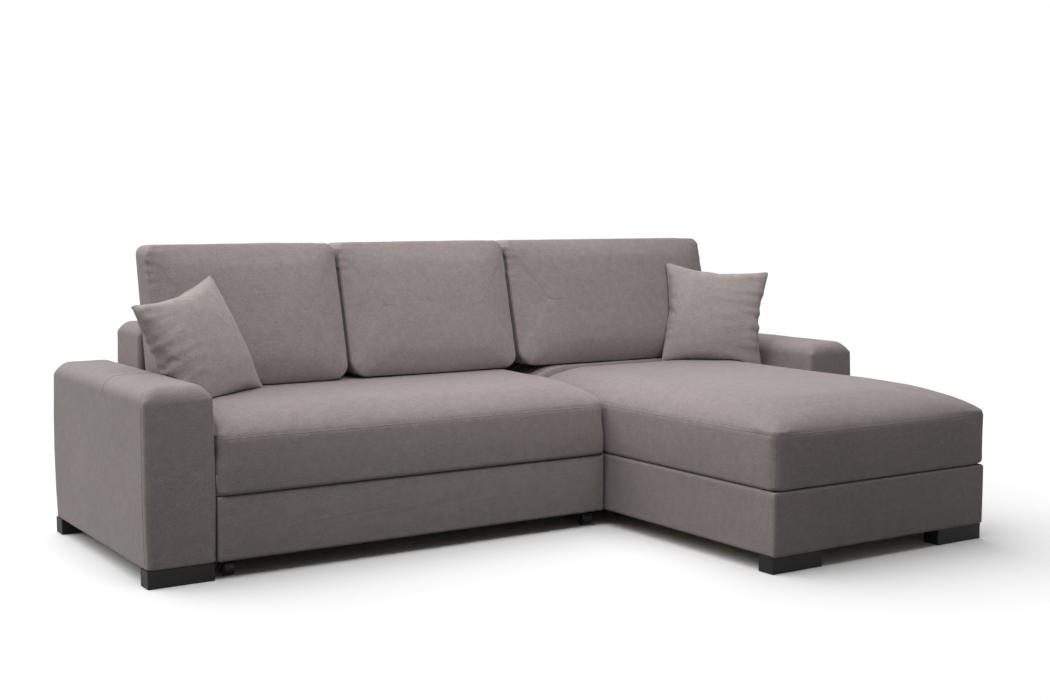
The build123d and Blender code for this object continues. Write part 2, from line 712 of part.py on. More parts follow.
def block_feet(starts_x, foot_y):
    with BuildPart() as foot:
        for start in starts_x:
            block((start, start + foot_width), foot_y, (0, foot_height))
        chamfer(foot.edges().filter_by(Axis.Z), foot_inset)
    return foot.part


for name, foot_start, foot_y in feet:
    save(block_feet([foot_start], foot_y), name)
centre_starts = (sofa_x[1] - foot_inset - foot_width, chaise_x[0] + foot_inset)
save(block_feet(centre_starts, back_foot_y), "feet_rear_centre")

# Loose back cushions: wedge-shaped, leaning on the backs, thicker at the foot than at the top
cushion_bottom = seat_crown + seat_clearance
cushion_front = hinge_y + cushion_front_gap
sofa_cushions_x = (sofa_x[0] + loose_gap, chaise_x[0] - cushion_overlap)
cushion_split = sofa_cushions_x[0] + size(sofa_cushions_x) * sofa_cushion_split
right_cushion_start = sofa_cushions_x[1] + loose_gap
cushions = (
    ("back_cushion_left", (sofa_cushions_x[0], cushion_split - loose_gap / 2)),
    ("back_cushion_middle", (cushion_split + loose_gap / 2, sofa_cushions_x[1])),
    ("back_cushion_right", (right_cushion_start, right_cushion_start + right_cushion_width)),
)


def cushion_section(cushion_x, share, inset, bulge):
    """One level of a back cushion, at a share of its height; the front bows out by its crown."""
    shift = cushion_lean * share
    depth = cushion_depth + (cushion_top_depth - cushion_depth) * share
    span_y = (cushion_front + shift + cushion_crown + inset, cushion_front + shift + depth - inset)
    level = Plane.XY.offset(cushion_bottom + cushion_height * share)
    sides = -cushion_draw_in * bulge - least_bow
    bows = (cushion_crown * bulge + least_bow, sides, -least_bow, sides)
    corner = min(cushion_corner, corner_share * size(span_y))
    return soft_outline(level, grown(cushion_x, -inset), span_y, corner, bows)


foot_share = cushion_edge_round / 2 / cushion_height
top_share = 1 - cushion_edge_round / cushion_height
for name, cushion_x in cushions:
    with BuildPart() as cushion:
        foot_layers = []
        top_layers = []
        for layer in range(dome_layers + 1):
            turn = radians(90 * layer / dome_layers)
            drawn = cushion_edge_round * (1 - cos(turn))
            low = foot_share * (1 - sin(turn))
            high = top_share + (1 - top_share) * sin(turn)
            foot_layers.append(cushion_section(cushion_x, low, drawn / 2, foot_bulge * cos(turn)))
            top_layers.append(cushion_section(cushion_x, high, drawn, top_bulge * cos(turn)))
        loft(foot_layers[::-1], ruled=True)
        crown = cushion_section(cushion_x, crown_share, 0, 1)
        loft([foot_layers[0], crown, top_layers[0]], ruled=True)
        loft(top_layers, ruled=True)
    save(cushion.part, name)


# Throw pillows: drawn-in sides, a knife edge and a crown on both faces
def throw_pillow(place, turn):
    """A pillow about its centre; turn is its yaw, its lean back and its roll, in degrees."""
    yaw, lean, roll = (radians(angle) for angle in turn)
    facing = Vector(sin(yaw) * cos(lean), -cos(yaw) * cos(lean), sin(lean))
    across = Vector(cos(yaw), sin(yaw), 0)
    rolled = across * cos(roll) + facing.cross(across) * sin(roll)
    level = Plane(origin=place, x_dir=rolled, z_dir=facing)
    for side in (1, -1):
        layers = []
        for layer in range(dome_layers + 1):
            share = layer / dome_layers
            inset = pillow_shoulder * share
            span = (inset - pillow_size / 2, pillow_size / 2 - inset)
            rise = side * pillow_thickness / 2 * sin(radians(90 * share))
            sides = (-pillow_draw_in * (1 - share) - least_bow,) * 4
            corner = pillow_corner + pillow_spread * inset
            layers.append(soft_outline(level.offset(rise), span, span, corner, sides))
        loft(layers, ruled=True)


def seat_print(x, y, shoulders):
    """Cuts the shape of a seat's crown out of a pillow, so that the pillow settles on it."""
    print_z = (seam_height, seat_crown + pillow_clearance)
    dome(grown(x, pillow_clearance), grown(y, pillow_clearance), print_z, shoulders, Mode.SUBTRACT)


left_pillow_corner = (left_arm_x[1], cushion_front, seat_crown)
right_pillow_corner = (chaise_x[1], cushion_front, seat_crown)
left_pillow_place = tuple(Vector(left_pillow_corner) + Vector(left_pillow_offset))
right_pillow_place = tuple(Vector(right_pillow_corner) + Vector(right_pillow_offset))
with BuildPart() as throw_pillow_left:
    throw_pillow(left_pillow_place, left_pillow_turn)
    arm_print = rounded_profile(
        along_y(left_arm_x, arm_y[0], foot_height),
        arm_width + 2 * pillow_clearance,
        arm_top - foot_height + pillow_clearance,
        arm_round,
    )
    extrude(arm_print, amount=arm_depth, mode=Mode.SUBTRACT)
    seat_print(sofa_pad_x, sofa_pad_y, sofa_shoulders)
save(throw_pillow_left.part, "throw_pillow_left")
with BuildPart() as throw_pillow_right:
    throw_pillow(right_pillow_place, right_pillow_turn)
    seat_print(chaise_x, chaise_pad_y, chaise_shoulders)
save(throw_pillow_right.part, "throw_pillow_right")
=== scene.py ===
"""Looks of the corner sofa: upholstery, seams, loose cushions, finishes, floor, light and camera."""
import json
import math

import bpy
import numpy as np
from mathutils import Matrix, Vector, noise
from mathutils.bvhtree import BVHTree


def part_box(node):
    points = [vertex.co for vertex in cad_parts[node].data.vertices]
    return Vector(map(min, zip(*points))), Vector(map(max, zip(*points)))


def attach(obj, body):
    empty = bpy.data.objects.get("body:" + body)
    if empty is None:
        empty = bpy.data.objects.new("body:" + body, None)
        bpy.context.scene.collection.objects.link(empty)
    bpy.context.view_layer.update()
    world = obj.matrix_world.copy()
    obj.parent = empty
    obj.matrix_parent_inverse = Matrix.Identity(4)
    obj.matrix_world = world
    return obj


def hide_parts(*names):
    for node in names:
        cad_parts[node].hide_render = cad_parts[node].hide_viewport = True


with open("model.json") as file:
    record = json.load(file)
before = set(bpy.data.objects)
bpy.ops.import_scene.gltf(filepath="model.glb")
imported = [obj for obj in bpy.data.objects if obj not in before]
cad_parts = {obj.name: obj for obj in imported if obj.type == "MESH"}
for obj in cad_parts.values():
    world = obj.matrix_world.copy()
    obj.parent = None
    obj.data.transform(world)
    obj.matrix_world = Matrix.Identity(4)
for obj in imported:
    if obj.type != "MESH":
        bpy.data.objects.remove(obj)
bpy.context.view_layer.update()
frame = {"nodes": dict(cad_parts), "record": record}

nodes = frame["nodes"]
scene = bpy.context.scene

# Camera at the photograph's angle
lens = bpy.data.cameras.new("camera")
lens.lens = 50.73
lens.sensor_width = 36.0
lens.clip_end = 200.0
camera = bpy.data.objects.new("camera", lens)
camera.location = (-2.6803, -3.9982, 1.0597)
camera.rotation_euler = (math.radians(84.534), 0, math.radians(-33.031))
scene.collection.objects.link(camera)
scene.camera = camera
scene.view_settings.view_transform = "Standard"

# Heights and places that several pieces share, in metres
seam_height = 0.410
seat_crown = 0.490
hinge_y = 0.400
hinge_height = 0.447
lid_sine, lid_cosine = 0.559, 0.829  # of the lid's widest angle
skirt = 0.022
skirt_height = 0.065
pad_corner = 0.026
cushion_pressure = 4.0
pillow_pressure = 5.0


# Mesh helpers
def as_arrays(box):
    """The low and high corners of a box, as arrays."""
    low, high = box
    return np.array(low), np.array(high)


def new_object(name, verts, faces):
    mesh = bpy.data.meshes.new(name)
    mesh.from_pydata([tuple(map(float, v)) for v in verts], [], faces)
    mesh.update()
    mesh.shade_smooth()
    obj = bpy.data.objects.new(name, mesh)
    scene.collection.objects.link(obj)
    return obj


def read(obj):
    co = np.empty(len(obj.data.vertices) * 3, np.float32)
    obj.data.vertices.foreach_get("co", co)
    return co.reshape(-1, 3).astype(np.float64)


def write(obj, co):
    obj.data.vertices.foreach_set("co", np.ascontiguousarray(co, np.float32).ravel())
    obj.data.update()


def vertex_normals(obj):
    out = np.empty(len(obj.data.vertices) * 3, np.float32)
    obj.data.vertex_normals.foreach_get("vector", out)
    return out.reshape(-1, 3).astype(np.float64)


def subdivide(obj):
    """Applies one round of subdivision to an object's mesh."""
    smooth = obj.modifiers.new("subdivision", "SUBSURF")
    smooth.levels = 1
    smooth.render_levels = 1
    shaped = obj.evaluated_get(bpy.context.evaluated_depsgraph_get())
    mesh = bpy.data.meshes.new_from_object(shaped)
    mesh.shade_smooth()
    old = obj.data
    obj.modifiers.clear()
    obj.data = mesh
    mesh.name = obj.name
    bpy.data.meshes.remove(old)


def smooth_step(low, high, value):
    share = np.clip((value - low) / (high - low), 0, 1)
    return share * share * (3 - 2 * share)


def ripple(co, scale, seed):
    """Smooth noise from -1 to 1 at each point; scale is bumps per metre, one number or one for each axis."""
    shift = Vector((seed * 3.7, seed * 1.3, seed * 2.1))
    return np.array([noise.noise(Vector(p) + shift) for p in co * np.array(scale)])


def neighbour_means(obj):
    """A function that gives, for a value at each point, the mean over the point's neighbours."""
    edges = np.empty(len(obj.data.edges) * 2, np.int32)
    obj.data.edges.foreach_get("vertices", edges)
    a, b = edges.reshape(-1, 2).T
    size = len(obj.data.vertices)
    count = np.bincount(edges, minlength=size).clip(1)
    return lambda value: (np.bincount(a, value[b], size) + np.bincount(b, value[a], size)) / count


def level_out(obj, rounds, share):
    """Evens out heights: each point moves up or down towards its neighbours, by its share."""
    means = neighbour_means(obj)
    co = read(obj)
    for _ in range(rounds):
        co[:, 2] += 0.6 * share * (means(co[:, 2]) - co[:, 2])
    write(obj, co)


def without_spikes(obj, co, limit=0.003):
    """Points that stand far off their neighbours, moved back among them."""
    means = neighbour_means(obj)
    for _ in range(12):
        among = np.stack([means(co[:, i]) for i in range(3)], axis=1)
        far = np.linalg.norm(among - co, axis=1) > limit
        co = np.where(far[:, None], among, co)
    return co


def lift(obj, amount):
    """Moves each point along its normal."""
    write(obj, read(obj) + vertex_normals(obj) * np.asarray(amount)[:, None])


def inflate(obj, pressure, held, cap, slack):
    """Swells a closed form as cloth under pressure. held is true where a seam or a frame holds the cloth."""
    start = read(obj)
    group = obj.vertex_groups.new(name="held")
    group.add(np.nonzero(held)[0].tolist(), 1.0, "REPLACE")
    cloth = obj.modifiers.new("cloth", "CLOTH")
    settings = cloth.settings
    settings.quality = 3
    settings.mass = 0.3
    settings.tension_stiffness = 20
    settings.compression_stiffness = 20
    settings.shear_stiffness = 8
    settings.bending_stiffness = 0.6
    settings.use_pressure = True
    settings.uniform_pressure_force = pressure
    settings.effector_weights.gravity = 0
    settings.vertex_group_mass = "held"
    settings.shrink_min = -slack
    cloth.collision_settings.use_collision = False
    cloth.point_cache.frame_start = 1
    cloth.point_cache.frame_end = 20
    for step in range(1, 21):
        scene.frame_set(step)
    shaped = obj.evaluated_get(bpy.context.evaluated_depsgraph_get())
    end = np.empty(len(start) * 3, np.float32)
    shaped.data.vertices.foreach_get("co", end)
    move = end.reshape(-1, 3).astype(np.float64) - start
    length = np.linalg.norm(move, axis=1, keepdims=True).clip(1e-9)
    obj.modifiers.clear()
    obj.vertex_groups.clear()
    scene.frame_set(1)
    write(obj, start + move * (cap * np.tanh(length / cap) / length))


def surface(obj):
    return BVHTree.FromObject(obj, bpy.context.evaluated_depsgraph_get())


def enclosed(tree, point):
    """Whether a point lies inside a closed form: a line forward crosses the skin an odd number of times."""
    ahead = Vector((0.013, -1, 0.007))
    crossings = 0
    spot = tree.ray_cast(point, ahead)[0]
    while spot is not None:
        crossings += 1
        spot = tree.ray_cast(spot + ahead * 1e-5, ahead)[0]
    return crossings % 2 == 1


def pushed_out(co, tree, gap):
    """Points that lie inside a closed form, or close to it, moved to just outside it."""
    out = co.copy()
    for i, p in enumerate(co):
        point = Vector(p)
        spot, normal, _, _ = tree.find_nearest(point, 0.15)
        if spot is None:
            continue
        depth = (spot - point).dot(normal)
        if -gap < depth <= 0 and (spot - point).length < gap or depth > 0 and enclosed(tree, point):
            out[i] = spot + normal * gap
    return out


def resample(points, step, closed=False):
    """Points at even steps along a polyline."""
    pts = np.asarray(points, float)
    if closed:
        pts = np.vstack([pts, pts[:1]])
    along = np.concatenate([[0], np.cumsum(np.linalg.norm(np.diff(pts, axis=0), axis=1))])
    count = max(2, int(round(along[-1] / step)))
    at = np.linspace(0, along[-1], count + (0 if closed else 1), endpoint=not closed)
    return np.stack([np.interp(at, along, pts[:, i]) for i in range(3)], axis=1)


def tube(points, normals, half_width, half_height, closed=False, flat=False, sides=8):
    """Vertices and faces of an oval tube along points, or of a flat strap."""
    ahead = np.roll(points, -1, 0) - np.roll(points, 1, 0)
    if not closed:
        ahead[0] = points[1] - points[0]
        ahead[-1] = points[-1] - points[-2]
    ahead /= np.linalg.norm(ahead, axis=1, keepdims=True).clip(1e-9)
    side = np.cross(ahead, normals)
    side /= np.linalg.norm(side, axis=1, keepdims=True).clip(1e-9)
    up = np.cross(side, ahead)
    turn = np.linspace(0, 2 * math.pi, sides, endpoint=False) + math.pi / sides
    bend = np.stack([np.cos(turn), np.sin(turn)])
    if flat:
        bend = np.sign(bend) * np.abs(bend) ** 0.2
    ring = half_width * bend[0][None, :, None] * side[:, None, :]
    ring = ring + half_height * bend[1][None, :, None] * up[:, None, :]
    verts = (points[:, None, :] + ring).reshape(-1, 3)
    count = len(points)
    faces = []
    for i in range(count if closed else count - 1):
        j = (i + 1) % count
        for k in range(sides):
            m = (k + 1) % sides
            faces.append((i * sides + k, j * sides + k, j * sides + m, i * sides + m))
    if not closed:
        faces.append(tuple(range(sides))[::-1])
        faces.append(tuple((count - 1) * sides + k for k in range(sides)))
    return verts, faces


def seam(obj, path, half_width=0.0014, half_height=0.0011, closed=False):
    """A sewn ridge along a path on an object's surface."""
    tree = surface(obj)
    spots, outs = [], []
    for p in resample(path, 0.006, closed):
        spot, out, _, _ = tree.find_nearest(Vector(p))
        spots.append(np.array(spot))
        outs.append(np.array(out))
    return tube(np.array(spots), np.array(outs), half_width, half_height, closed)


def joined(name, parts):
    """One object from several lists of vertices and faces."""
    verts, faces, start = [], [], 0
    for part_verts, part_faces in parts:
        verts.extend(part_verts)
        faces.extend(tuple(start + i for i in face) for face in part_faces)
        start += len(part_verts)
    return new_object(name, verts, faces)


def block(low, high):
    """Vertices and faces of a plain box."""
    plan = ((low[0], low[1]), (high[0], low[1]), (high[0], high[1]), (low[0], high[1]))
    verts = [(x, y, z) for z in (low[2], high[2]) for x, y in plan]
    sides = [(i, (i + 1) % 4, (i + 1) % 4 + 4, i + 4) for i in range(4)]
    return verts, [(3, 2, 1, 0), (4, 5, 6, 7)] + sides


# Closed padded forms, built from level rings
def ring_points(x, y, corners, z, counts):
    """A level ring of points, anticlockwise from its front right corner; corners holds four radii."""
    along, across, arc = counts
    spots = (
        (x[1] - corners[0], y[0] + corners[0], -90),
        (x[1] - corners[1], y[1] - corners[1], 0),
        (x[0] + corners[2], y[1] - corners[2], 90),
        (x[0] + corners[3], y[0] + corners[3], 180),
    )
    arcs = []
    for (cx, cy, start), radius in zip(spots, corners):
        turns = np.radians(np.linspace(start, start + 90, arc))
        arcs.append(np.stack([cx + radius * np.cos(turns), cy + radius * np.sin(turns)], axis=1))
    points = []
    for place, bend in enumerate(arcs):
        ahead = arcs[(place + 1) % 4][0]
        run = along if place % 2 else across
        points.extend(bend)
        points.extend(bend[-1] + share * (ahead - bend[-1]) for share in np.linspace(0, 1, run + 2)[1:-1])
    return np.hstack([np.array(points), np.full((len(points), 1), z)])


def zipped(first, count, corner):
    """Faces that close a ring: strips from one half to the other, from the middle of one corner."""
    halves = [[first + (corner + way * step) % count for step in range(count // 2 + 1)] for way in (1, -1)]
    faces = []
    for step in range(count // 2):
        quad = (halves[0][step], halves[0][step + 1], halves[1][step + 1], halves[1][step])
        faces.append(tuple(dict.fromkeys(quad)))
    return faces


def padded_form(low, high, seam_z, shoulders, corners, foot=0.006, swell=0.0, step=0.012, hollow=0.0):
    """Points and faces of a closed form: an upright wall, then shoulders up to a flat top.

    Shoulders are the front, right, rear and left ones. A hollow leaves a skirt round the form's underside.
    """
    low, high = np.array(low, float), np.array(high, float)
    shoulders, corners = np.array(shoulders, float), np.array(corners, float)
    size = high - low
    counts = (max(4, int(size[0] / step)), max(4, int(size[1] / step)), 8)
    levels = []
    if hollow:
        for share in np.linspace(0, 1, max(3, int(hollow / step))):
            levels.append((low[2] + hollow * (1 - share), np.full(4, skirt)))
    for turn in np.radians(np.linspace(0, 75, 5)):
        levels.append((low[2] + foot * (1 - np.cos(turn)), np.full(4, foot * (1 - np.sin(turn)))))
    wall = seam_z - low[2] - foot
    for share in np.linspace(0, 1, max(3, int(wall / step))):
        levels.append((low[2] + foot + wall * share, np.full(4, -swell * math.sin(math.pi * share))))
    for turn in np.radians(np.linspace(0, 90, 15)[1:]):
        levels.append((seam_z + (high[2] - seam_z) * np.sin(turn), shoulders * (1 - np.cos(turn))))
    room = min(size[0] - shoulders[1] - shoulders[3], size[1] - shoulders[0] - shoulders[2]) / 2
    for inset in np.linspace(0, room - 0.6 * step, max(4, int(room / step)))[1:]:
        levels.append((high[2], shoulders + inset))
    verts = []
    for z, inset in levels:
        x = (low[0] + inset[3], high[0] - inset[1])
        y = (low[1] + inset[0], high[1] - inset[2])
        limit = 0.48 * min(x[1] - x[0], y[1] - y[0])
        radii = np.minimum(corners + 0.4 * max(inset.max(), 0), limit)
        verts.append(ring_points(x, y, radii, z, counts))
    count = len(verts[0])
    faces = []
    for i in range(len(verts) - 1):
        for k in range(count):
            m = (k + 1) % count
            faces.append((i * count + k, i * count + m, (i + 1) * count + m, (i + 1) * count + k))
    corner = counts[2] // 2
    last = (len(verts) - 1) * count
    faces += [face[::-1] for face in zipped(0, count, corner)] + zipped(last, count, corner)
    verts = np.concatenate(verts)
    gaps = np.hstack([verts[:, :2] - low[:2], high[:2] - verts[:, :2]])[:, [1, 2, 3, 0]] / shoulders
    dome = np.sqrt(1 - (1 - gaps.clip(0, 1)) ** 2).prod(axis=1)
    verts[:, 2] = np.where(verts[:, 2] > seam_z, seam_z + (high[2] - seam_z) * dome, verts[:, 2])
    return verts, faces


# Materials
def material(name):
    made = bpy.data.materials.new(name)
    made.use_nodes = True
    tree = made.node_tree
    shader = tree.nodes["Principled BSDF"]
    return made, tree, shader


def add_node(tree, kind, **values):
    made = tree.nodes.new(kind)
    for key, value in values.items():
        if key.startswith("in_"):
            socket = key[3:]
            made.inputs[int(socket) if socket.isdigit() else socket].default_value = value
        else:
            setattr(made, key, value)
    return made


def math_node(tree, operation, a, b=None):
    made = tree.nodes.new("ShaderNodeMath")
    made.operation = operation
    for place, value in enumerate((a, b)):
        if value is None:
            continue
        if isinstance(value, (int, float)):
            made.inputs[place].default_value = value
        else:
            tree.links.new(value, made.inputs[place])
    return made.outputs[0]


def mix_colour(tree, factor, a, b, blend="MIX"):
    made = tree.nodes.new("ShaderNodeMix")
    made.data_type = "RGBA"
    made.blend_type = blend
    for socket, value in ((made.inputs[0], factor), (made.inputs[6], a), (made.inputs[7], b)):
        if isinstance(value, (int, float, tuple)):
            socket.default_value = value
        else:
            tree.links.new(value, socket)
    return made.outputs[2]


def stretched_noise(tree, place, stretch, scale, detail=2.0):
    scaled = add_node(tree, "ShaderNodeMapping", in_Scale=stretch)
    tree.links.new(place, scaled.inputs["Vector"])
    made = add_node(tree, "ShaderNodeTexNoise", in_Scale=scale, in_Detail=detail, in_Roughness=0.55)
    tree.links.new(scaled.outputs[0], made.inputs["Vector"])
    return made.outputs["Fac"]


def ramp(tree, value, low, high):
    made = add_node(tree, "ShaderNodeMapRange", in_1=low, in_2=high)
    tree.links.new(value, made.inputs[0])
    return made.outputs[0]


def weave_height(tree, place, normal, pitch):
    """Crossed threads over a surface of any slope: each of three plane weaves counts where it faces."""
    spots = add_node(tree, "ShaderNodeSeparateXYZ")
    tree.links.new(place, spots.inputs[0])
    faces = add_node(tree, "ShaderNodeSeparateXYZ")
    tree.links.new(normal, faces.inputs[0])
    turns = [math_node(tree, "MULTIPLY", out, math.pi / pitch) for out in spots.outputs]
    waves = [math_node(tree, "SINE", turn) for turn in turns]
    shares = [math_node(tree, "POWER", math_node(tree, "ABSOLUTE", out), 4.0) for out in faces.outputs]
    total = None
    for across in range(3):
        u, v = (i for i in range(3) if i != across)
        part = math_node(tree, "MULTIPLY", math_node(tree, "MULTIPLY", waves[u], waves[v]), shares[across])
        total = part if total is None else math_node(tree, "ADD", total, part)
    return total


def fabric(name, dark, pale, pitch=0.0021, bump=0.35):
    """A heathered cloth: mixed yarns, slubs across the weave, and a soft nap."""
    made, tree, shader = material(name)
    links = tree.links
    place = tree.nodes.new("ShaderNodeTexCoord").outputs["Object"]
    normal = tree.nodes.new("ShaderNodeNewGeometry").outputs["Normal"]
    speckle = stretched_noise(tree, place, (1, 1, 1), 330, 3)
    slub = stretched_noise(tree, place, (0.16, 0.3, 1), 240, 2)
    mottle = stretched_noise(tree, place, (1, 1, 1), 38, 3)
    broad = stretched_noise(tree, place, (1, 1, 1), 3.2, 2)
    weave = weave_height(tree, place, normal, pitch)
    yarn = math_node(tree, "ADD", math_node(tree, "MULTIPLY", ramp(tree, speckle, 0.3, 0.7), 0.66),
                     math_node(tree, "MULTIPLY", ramp(tree, slub, 0.3, 0.7), 0.14))
    yarn = math_node(tree, "ADD", yarn, math_node(tree, "MULTIPLY", ramp(tree, mottle, 0.3, 0.7), 0.2))
    yarn = math_node(tree, "ADD", yarn, math_node(tree, "MULTIPLY", weave, 0.12))
    colour = mix_colour(tree, yarn, dark, pale)
    tone = math_node(tree, "ADD", math_node(tree, "MULTIPLY", ramp(tree, broad, 0.3, 0.7), 0.07), 0.965)
    tint = tree.nodes.new("ShaderNodeCombineColor")
    for i in range(3):
        links.new(tone, tint.inputs[i])
    colour = mix_colour(tree, 1.0, colour, tint.outputs[0], "MULTIPLY")
    links.new(colour, shader.inputs["Base Color"])
    rough = add_node(tree, "ShaderNodeMapRange", in_3=0.82, in_4=0.97)
    links.new(speckle, rough.inputs[0])
    links.new(rough.outputs[0], shader.inputs["Roughness"])
    height = math_node(tree, "ADD", math_node(tree, "MULTIPLY", weave, 0.5),
                       math_node(tree, "MULTIPLY", slub, 0.9))
    height = math_node(tree, "ADD", height, speckle)
    relief = add_node(tree, "ShaderNodeBump", in_Strength=bump, in_Distance=0.0009)
    links.new(height, relief.inputs["Height"])
    links.new(relief.outputs[0], shader.inputs["Normal"])
    shader.inputs["Specular IOR Level"].default_value = 0.2
    shader.inputs["Sheen Weight"].default_value = 0.22
    shader.inputs["Sheen Roughness"].default_value = 0.45
    shader.inputs["Sheen Tint"].default_value = (0.86, 0.83, 0.82, 1)
    return made


def timber(name, dark, pale, stretch):
    made, tree, shader = material(name)
    links = tree.links
    place = tree.nodes.new("ShaderNodeTexCoord").outputs["Object"]
    grain = stretched_noise(tree, place, stretch, 22, 6)
    pores = stretched_noise(tree, place, tuple(s * 3 for s in stretch), 90, 2)
    blotch = stretched_noise(tree, place, (1, 1, 1), 4, 2)
    share = math_node(tree, "ADD", math_node(tree, "MULTIPLY", ramp(tree, grain, 0.35, 0.65), 0.7),
                      math_node(tree, "MULTIPLY", blotch, 0.3))
    links.new(mix_colour(tree, share, dark, pale), shader.inputs["Base Color"])
    rough = add_node(tree, "ShaderNodeMapRange", in_3=0.55, in_4=0.8)
    links.new(grain, rough.inputs[0])
    links.new(rough.outputs[0], shader.inputs["Roughness"])
    relief = add_node(tree, "ShaderNodeBump", in_Strength=0.2, in_Distance=0.0006)
    links.new(pores, relief.inputs["Height"])
    links.new(relief.outputs[0], shader.inputs["Normal"])
    return made


def moulded(name, dark, pale, rough_span, metal=0.0, stretch=(1, 1, 1), scale=160, bump=0.12):
    """Plastic, rubber, lacquer or plated steel: a base tone with fine marks and uneven gloss."""
    made, tree, shader = material(name)
    links = tree.links
    place = tree.nodes.new("ShaderNodeTexCoord").outputs["Object"]
    marks = stretched_noise(tree, place, stretch, scale, 4)
    cloudy = stretched_noise(tree, place, (1, 1, 1), 14, 3)
    links.new(mix_colour(tree, ramp(tree, cloudy, 0.3, 0.7), dark, pale), shader.inputs["Base Color"])
    rough = add_node(tree, "ShaderNodeMapRange", in_3=rough_span[0], in_4=rough_span[1])
    links.new(marks, rough.inputs[0])
    links.new(rough.outputs[0], shader.inputs["Roughness"])
    relief = add_node(tree, "ShaderNodeBump", in_Strength=bump, in_Distance=0.0004)
    links.new(marks, relief.inputs["Height"])
    links.new(relief.outputs[0], shader.inputs["Normal"])
    shader.inputs["Metallic"].default_value = metal
    shader.inputs["Specular IOR Level"].default_value = 0.3
    return made


cloth_main = fabric("sofa_cloth", (0.198, 0.167, 0.163, 1), (0.37, 0.323, 0.317, 1))
cloth_pillow = fabric("pillow_cloth", (0.26, 0.223, 0.217, 1), (0.465, 0.41, 0.4, 1))
cloth_pad = fabric("mattress_cloth", (0.5, 0.48, 0.45, 1), (0.66, 0.64, 0.6, 1), pitch=0.0016)
strap_cloth = fabric("strap_cloth", (0.035, 0.035, 0.038, 1), (0.09, 0.09, 0.095, 1), pitch=0.0018)
wood_x = timber("plywood_across", (0.42, 0.27, 0.14, 1), (0.68, 0.5, 0.3, 1), (0.12, 1, 1))
wood_y = timber("plywood_along", (0.42, 0.27, 0.14, 1), (0.68, 0.5, 0.3, 1), (1, 0.12, 1))
black_foot = moulded("foot_black", (0.005, 0.005, 0.0055, 1), (0.012, 0.0115, 0.0115, 1), (0.5, 0.7))
black_wheel = moulded("castor_black", (0.012, 0.012, 0.013, 1), (0.03, 0.03, 0.032, 1), (0.35, 0.6))
pale_roller = moulded("roller_white", (0.6, 0.6, 0.57, 1), (0.74, 0.74, 0.72, 1), (0.35, 0.5))
rubber = moulded("buffer_black", (0.015, 0.015, 0.015, 1), (0.04, 0.04, 0.04, 1), (0.7, 0.9))
zinc = moulded("zinc_plate", (0.5, 0.5, 0.49, 1), (0.68, 0.68, 0.66, 1), (0.25, 0.45), metal=1.0,
               stretch=(1, 0.1, 1), scale=220, bump=0.06)
lacquer = moulded("cylinder_black", (0.012, 0.012, 0.013, 1), (0.028, 0.028, 0.03, 1), (0.18, 0.3))


def dress(obj, finish, slot, body, *stands_for, fill=None):
    """Gives a new piece its material and its body, and hides the CAD nodes that it stands for. The slot is
    not used.
    """
    obj.data.materials.clear()
    obj.data.materials.append(finish)
    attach(obj, body)
    if stands_for:
        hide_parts(*stands_for)


# Arms and backs: padded covers over fixed frames
def upholster(node_name, shoulder, corner, seed):
    """A padded cover over a fixed frame: walls that swell a little, soft edges and an uneven face."""
    swell = 0.003
    low, high = as_arrays(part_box(node_name))
    low[:2] += swell
    high -= swell
    shape = padded_form(low, high, high[2] - shoulder, [shoulder] * 4, [corner] * 4, swell=swell)
    form = new_object(node_name.replace("_cover", "_upholstery"), *shape)
    co = read(form)
    middle = smooth_step(0, 0.08, np.minimum(co[:, :2] - low[:2], high[:2] - co[:, :2]).min(axis=1))
    crown = swell * middle * smooth_step(high[2] - 0.01, high[2], co[:, 2])
    lift(form, crown + ripple(co, 5, seed) * 0.0015 + ripple(co, 16, seed + 1) * 0.0005)
    dress(form, cloth_main, "sofa_fabric", "sofa", node_name, fill=0.9)
    return form, low, high


sofa_seams = []
arms = {}
seam_start, across_y = 0.51, 0.34
for seed, side in enumerate(("left", "right")):
    arm, low, high = upholster(f"{side}_arm_cover", 0.046, 0.016, seed)
    for edge_x in (low[0] + 0.003, high[0] - 0.003):
        edge_y = low[1] + 0.003
        sofa_seams.append(seam(arm, [(edge_x, edge_y, low[2] + 0.01), (edge_x, edge_y, 0.53)]))
    outer_x = low[0] if side == "left" else high[0]
    second_y = low[1] + 0.024
    sofa_seams.append(seam(arm, [(outer_x, second_y, low[2] + 0.01), (outer_x, second_y, seam_start)]))
    across = [(low[0], across_y, seam_start), (low[0] + 0.02, across_y, high[2])]
    across += [(high[0] - 0.02, across_y, high[2]), (high[0], across_y, seam_start)]
    sofa_seams.append(seam(arm, across))
    arms[side] = arm

for seed, name in enumerate(("sofa_back", "chaise_back")):
    back, low, high = upholster(f"{name}_cover", 0.04, 0.016, seed + 4)
    for edge_y in (low[1], high[1]):
        level = high[2] - 0.05
        sofa_seams.append(seam(back, [(low[0] + 0.01, edge_y, level), (high[0] - 0.01, edge_y, level)]))


# Seats
def front_path(x, y, corner):
    """Plan points and outward directions from the rear left, round the front, to the rear right."""
    spots = [((x[0], place), (-1, 0)) for place in np.arange(y[1], y[0] + corner, -0.012)]
    for turn in np.radians(np.linspace(180, 270, 8)):
        out = np.array((math.cos(turn), math.sin(turn)))
        spots.append(((x[0] + corner, y[0] + corner) + corner * out, out))
    spots += [((place, y[0]), (0, -1)) for place in np.arange(x[0] + corner, x[1] - corner, 0.012)[1:]]
    for turn in np.radians(np.linspace(270, 360, 8)):
        out = np.array((math.cos(turn), math.sin(turn)))
        spots.append(((x[1] - corner, y[0] + corner) + corner * out, out))
    spots += [((x[1], place), (1, 0)) for place in np.arange(y[0] + corner, y[1], 0.012)[1:]]
    return np.array([spot for spot, _ in spots]), np.array([out for _, out in spots])


